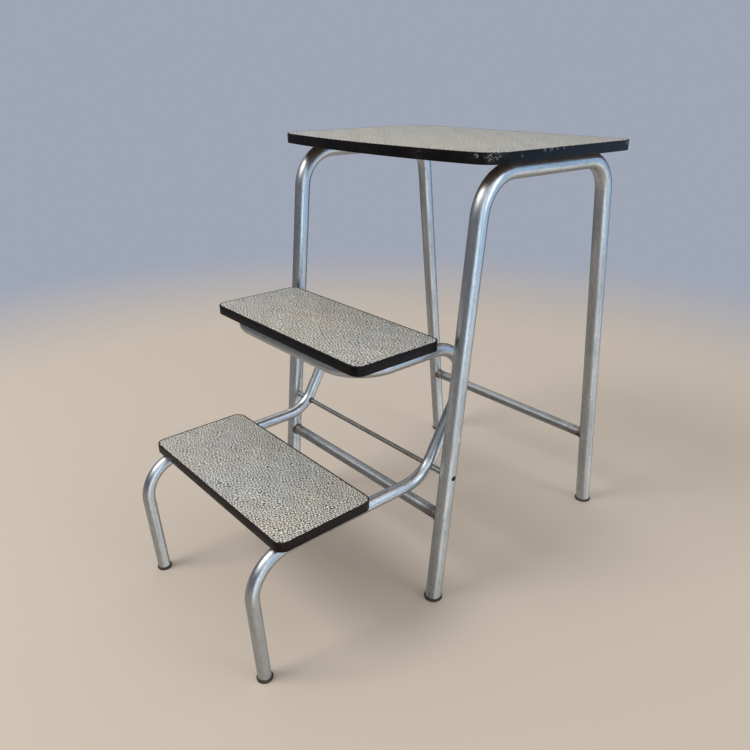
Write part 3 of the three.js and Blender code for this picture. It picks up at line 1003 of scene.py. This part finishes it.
def makeBoard(board, body, look):
    low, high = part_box(board + "_edge_band")
    band, seam, sheet, over, ease = (
        boardSizes[key] for key in ("band", "seam", "laminate", "roundOver", "ease"))
    bottom, top, inset = low.z, high.z, band + seam
    easeIn, easeDown = (ease * share for share in boardSizes["easeMiddle"])
    quarter = arcPoints((0, 0), over, 0, math.pi / 2, boardSizes["roundSteps"])
    rim = [(over - a, top - over + b) for a, b in quarter]
    base = [(over - a, bottom + over - b) for a, b in reversed(quarter)]
    easedTop = [(inset, top - ease), (inset + easeIn, top - easeDown), (inset + ease, top)]

    def outline(inset):
        return boardOutline(high.x, high.y, low.y + look["bow"], look, inset)

    layers = [
        ("_edge_band", "edge_band", [(band, bottom)] + base + rim + [(band, top - hair)]),
        ("_laminate", "board_laminate", [(inset, top - sheet)] + easedTop),
        ("_core", "board_core", [(inset, bottom + hair), (inset, top - sheet - hair / 2)]),
    ]
    for layer, slot, section in layers:
        item = sweptBoard(pieceName(board + layer), outline, section, layer == "_edge_band")
        finishPiece(item, body, slot, [board + layer])


makeBoard("seat", "stool", seatBoard)
makeBoard("upper_step", "steps", stepBoard)
makeBoard("lower_step", "steps", stepBoard)
print("boards made")


# wood screws: pan head with a cross recess, driven from below, seen only through the access holes

screw = {
    "headRadius": 3.6 * mm,
    "headHeight": 2.2 * mm,
    "crown": 0.9 * mm,
    "shankRadius": 1.8 * mm,
    "tip": 3 * mm,
    "point": 0.08,  # width at the very end, as a share of the shank's
    "threadPitch": 1.3 * mm,
    "threadDepth": 0.2,  # share of the shank's radius
    "recessLength": 3.4 * mm,
    "recessWidth": 0.8 * mm,
    "recessDepth": 1.2 * mm,
    "headRings": 14,
    "shankRings": 60,
    "sides": 24,
    "seed": 11,
}
screwInputs = {
    "Head radius": "headRadius", "Head height": "headHeight", "Crown": "crown", "Shank radius": "shankRadius",
    "Tip": "tip", "Thread pitch": "threadPitch", "Thread depth": "threadDepth",
    "Recess length": "recessLength", "Recess width": "recessWidth", "Recess depth": "recessDepth",
}


def makeScrewSheet():
    sheet = NodeSheet("screws", {"Length": "Float", **dict.fromkeys(screwInputs, "Float"), "Seed": "Int"})
    given = sheet.given

    def upright(low, high, count, radius, scale):  # a round bar from low to high, its width by scale
        start, end = sheet.upward(low), sheet.upward(high)
        line = sheet.wire("GeometryNodeCurvePrimitiveLine", None, {"Start": start, "End": end})
        dense = sheet.resampled(line, count)
        return sheet.swept(dense, sheet.circle(screw["sides"], radius), {"Scale": scale, "Fill Caps": True})

    def combined(operation, values):
        settings = {"operation": operation, "solver": "EXACT"}
        return sheet.wire("GeometryNodeMeshBoolean", settings, values, "Mesh")

    def united(first, second):
        both = combined("UNION", {"Mesh 2": first})
        sheet.feed(both.socket.node.inputs["Mesh 2"], second)
        return both

    reach = sheet.reach()
    drop = (1 - reach / given("Crown")).clamped()
    rounding = 1 - reach.sum("SQRT", 1 - drop * drop)
    crowned = 1 - rounding * (given("Crown") / given("Head radius"))
    head = upright(0.0, given("Head height"), screw["headRings"], given("Head radius"), crowned)
    left = given("Length") - given("Head height") - reach
    halfPitch = given("Thread pitch") * 0.5
    ridge = reach.sum("PINGPONG", reach, halfPitch) / halfPitch
    taper = screw["point"] + (1 - screw["point"]) * (left / given("Tip")).clamped()
    threaded = taper * (1 - given("Thread depth") * ridge)
    under = given("Head height") - hair
    shank = upright(under, given("Length"), screw["shankRings"], given("Shank radius"), threaded)
    body = united(head, shank)
    arms = []
    for turned in (False, True):
        sides = {"X": given("Recess length"), "Y": given("Recess width"), "Z": given("Recess depth") * 2}
        if turned:
            sides["X"], sides["Y"] = sides["Y"], sides["X"]
        size = sheet.wire("ShaderNodeCombineXYZ", None, sides)
        arms.append(sheet.wire("GeometryNodeMeshCube", None, {"Size": size}, "Mesh"))
    cutBody = combined("DIFFERENCE", {"Mesh 1": body, "Mesh 2": united(*arms)})
    spin = sheet.wire("FunctionNodeRandomValue", {"data_type": "FLOAT_VECTOR"}, {
        "Min": (0, 0, 0), "Max": (0, 0, math.pi), "Seed": given("Seed")}, "Value")
    placed = sheet.wire("GeometryNodeInstanceOnPoints", None, {
        "Points": given("Geometry"), "Instance": cutBody, "Rotation": spin})
    sheet.finishWith(placed)
    return sheet


def makeScrews(sheet, name, body, nodes):
    places = []
    for node in nodes:
        low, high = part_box(node)
        places.append(((low.x + high.x) / 2, (low.y + high.y) / 2, low.z))
    values = {label: screw[key] for label, key in screwInputs.items()}
    values.update({"Length": high.z - low.z, "Seed": screw["seed"]})
    mesh = sheet.run(addGuide(name, places), "screw_metal", values)
    smoothMesh(mesh, "screw")
    finishPiece(linkMesh(name, mesh), body, "screw_metal", nodes)


screwSheet = makeScrewSheet()
makeScrews(screwSheet, "seatScrews", "stool", seatScrews)
makeScrews(screwSheet, "stepScrews", "steps", upperScrews + lowerScrews)
print("screws driven")


# feet: a rubber disc turned in one with the stem that leans up into the tube

foot = {
    "thickness": 3.5 * mm,
    "edge": 1.1 * mm,
    "edgeSteps": 5,
    "stem": 14 * mm,
    "stemEase": 0.8 * mm,
    "stemPlay": 0.35 * mm,
    "sides": 48,
}


def makeFoot(node, body, tube, slope):
    low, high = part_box(node)
    height, edge, ease = foot["thickness"], foot["edge"], foot["stemEase"]
    rim, top = (high.x - low.x) / 2 - edge, height + foot["stem"]
    stem = tube["tubeRadius"] - tube["wall"] - foot["stemPlay"]
    flat = [vertex.co.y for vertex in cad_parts[node].data.vertices if vertex.co.z < hair]
    start = ((low.x + high.x) / 2, (min(flat) + max(flat)) / 2, 0)
    profile = [(0, 0)] + arcPoints((edge, rim), edge, math.pi, math.pi / 2, foot["edgeSteps"])
    profile += arcPoints((height - edge, rim), edge, math.pi / 2, 0, foot["edgeSteps"])
    profile += [(height, stem), (top - ease, stem), (top, stem - ease), (top, 0)]
    item = turnedPiece(pieceName(node), profile, start, (0, 0, 1), foot["sides"])
    for vertex in item.data.vertices:
        if vertex.co.z > height - hair and math.dist(vertex.co[:2], start[:2]) < stem + hair:
            vertex.co.y += slope * vertex.co.z
    finishPiece(item, body, "foot_rubber", [node])


for place in ("front", "rear"):
    for side in ("left", "right"):
        makeFoot(f"foot_{place}_{side}", "stool", sideFrame, legSlope(place))
stepLegSlope = (stepFrame["lowerFront"] - stepFrame["foot"]) / stepFrame["lowerRun"]
for side in ("left", "right"):
    makeFoot("step_foot_" + side, "steps", stepFrame, stepLegSlope)
print("feet made")


# floor, light and surroundings

studio = {
    "floor": (0.57, 0.49, 0.41),
    "floorRadius": 3.2,
    "floorSides": 96,
    "floorRoughness": 0.75,
    "floorSpecular": 0.2,
    "floorFade": (1.05, 1.9),  # the floor melts into the background between these distances
    "floorMirrored": 0.35,  # share of the floor that bare metal shows, the room beyond it being the rest
    "backdrop": (0.345, 0.38, 0.465),
    "above": (0.97, 0.985, 1.0),
    "below": (0.45, 0.44, 0.43),
    "belowToAbove": (0.35, 0.85),  # from 0 straight down to 1 straight up
    "worldLight": 0.78,
}

# what bare metal mirrors: bright panels on one side of the room, by their turn from +X in degrees;
# each colour is given high up and low down, and heights run from -1 straight down to 1 straight up
panels = {
    "room": ((0.12, 0.135, 0.16), (0.14, 0.135, 0.125)),
    "wall": ((0.42, 0.62, 0.90), (1.12, 1.17, 1.14)),
    "window": ((1.15, 1.45, 1.7), (1.5, 1.56, 1.52)),
    "wallTurn": (-10, 74),
    "windowTurn": (-38, -10),
    "softTurn": 3,  # a panel's edge fades over this much on either side
    "lowToHigh": (-0.42, -0.22),
    "ground": (0.29, 0.28, 0.255),
    "groundFrom": (-0.50, -0.68),
    "roof": (0.80, 0.82, 0.85),
    "roofFrom": (0.35, 0.6),
}

softboxes = {
    "keyLight": {
        "place": (-0.7, -2.0, 2.7), "target": (0, 0, 0.25), "size": (1.2, 1.2),
        "power": 46, "colour": (1.0, 0.99, 0.975)},
    "sideLight": {
        "place": (2.2, 0.6, 1.3), "target": (0, 0, 0.3), "size": (0.9, 1.8),
        "power": 9, "colour": (0.93, 0.97, 1.0)},
}


def makeFloor():
    shape = bmesh.new()
    bmesh.ops.create_circle(shape, cap_ends=True, segments=studio["floorSides"], radius=studio["floorRadius"])
    mesh = bpy.data.meshes.new("floor")
    shape.to_mesh(mesh)
    shape.free()
    finish = Finish("floor")
    far = finish.vectorSum("LENGTH", finish.place, output="Value")
    fade = far.between(studio["floorFade"][1], studio["floorFade"][0])
    mirrored = finish.wire("ShaderNodeLightPath", output="Is Glossy Ray")
    finish.set(BaseColor=rgba(studio["floor"]), Roughness=studio["floorRoughness"],
               SpecularIORLevel=studio["floorSpecular"],
               Alpha=fade * (1 - mirrored * (1 - studio["floorMirrored"])))
    mesh.materials.append(finish.material)
    linkMesh("floor", mesh)


def makeWorld():
    world = bpy.data.worlds.new("studio")
    world.use_nodes = True
    scene.world = world
    bench = Bench(world.node_tree)
    bench.tree.nodes.clear()
    way = bench.wire("ShaderNodeTexCoord", output="Generated")
    x, y, z = (bench.part(way, letter) for letter in "XYZ")
    turn = x.sum("ARCTAN2", y, x) * (180 / math.pi)
    height = z.between(*panels["lowToHigh"])
    soft = panels["softTurn"]
    room, wall, window = (
        bench.blendColour(height, low, high)
        for high, low in (panels[name] for name in ("room", "wall", "window")))
    colour = room
    for (start, end), shade in ((panels["wallTurn"], wall), (panels["windowTurn"], window)):
        mask = turn.between(start - soft, start + soft) * turn.between(end + soft, end - soft)
        colour = bench.blendColour(mask, colour, shade)
    colour = bench.blendColour(z.between(*panels["groundFrom"]), colour, panels["ground"])
    mirrored = bench.blendColour(z.between(*panels["roofFrom"]), colour, panels["roof"])
    upright = (z * 0.5 + 0.5).between(*studio["belowToAbove"])
    light = bench.blendColour(upright, studio["below"], studio["above"])
    ray = bench.add("ShaderNodeLightPath")
    shaders = [
        bench.wire("ShaderNodeBackground", None, {"Color": shade, "Strength": level})
        for shade, level in ((light, studio["worldLight"]), (mirrored, 1.0), (rgba(studio["backdrop"]), 1.0))
    ]
    lit = bench.wire("ShaderNodeMixShader", None, {
        0: Wire(bench, ray.outputs["Is Glossy Ray"]), 1: shaders[0], 2: shaders[1]})
    seen = Wire(bench, ray.outputs["Is Camera Ray"]) + Wire(bench, ray.outputs["Is Transmission Ray"])
    shown = bench.wire("ShaderNodeMixShader", None, {0: seen.clamped(), 1: lit, 2: shaders[2]})
    bench.add("ShaderNodeOutputWorld", None, {"Surface": shown})


def addSoftbox(name, look):
    lamp = bpy.data.lights.new(name, "AREA")
    lamp.shape = "RECTANGLE"
    lamp.size, lamp.size_y = look["size"]
    lamp.energy = look["power"]
    lamp.color = look["colour"]
    holder = bpy.data.objects.new(name, lamp)
    holder.location = look["place"]
    holder.rotation_mode = "QUATERNION"
    aim = Vector(look["target"]) - Vector(look["place"])
    holder.rotation_quaternion = aim.to_track_quat("-Z", "Y")
    scene.collection.objects.link(holder)


makeFloor()
makeWorld()
for name, look in softboxes.items():
    addSoftbox(name, look)
print("studio lit")
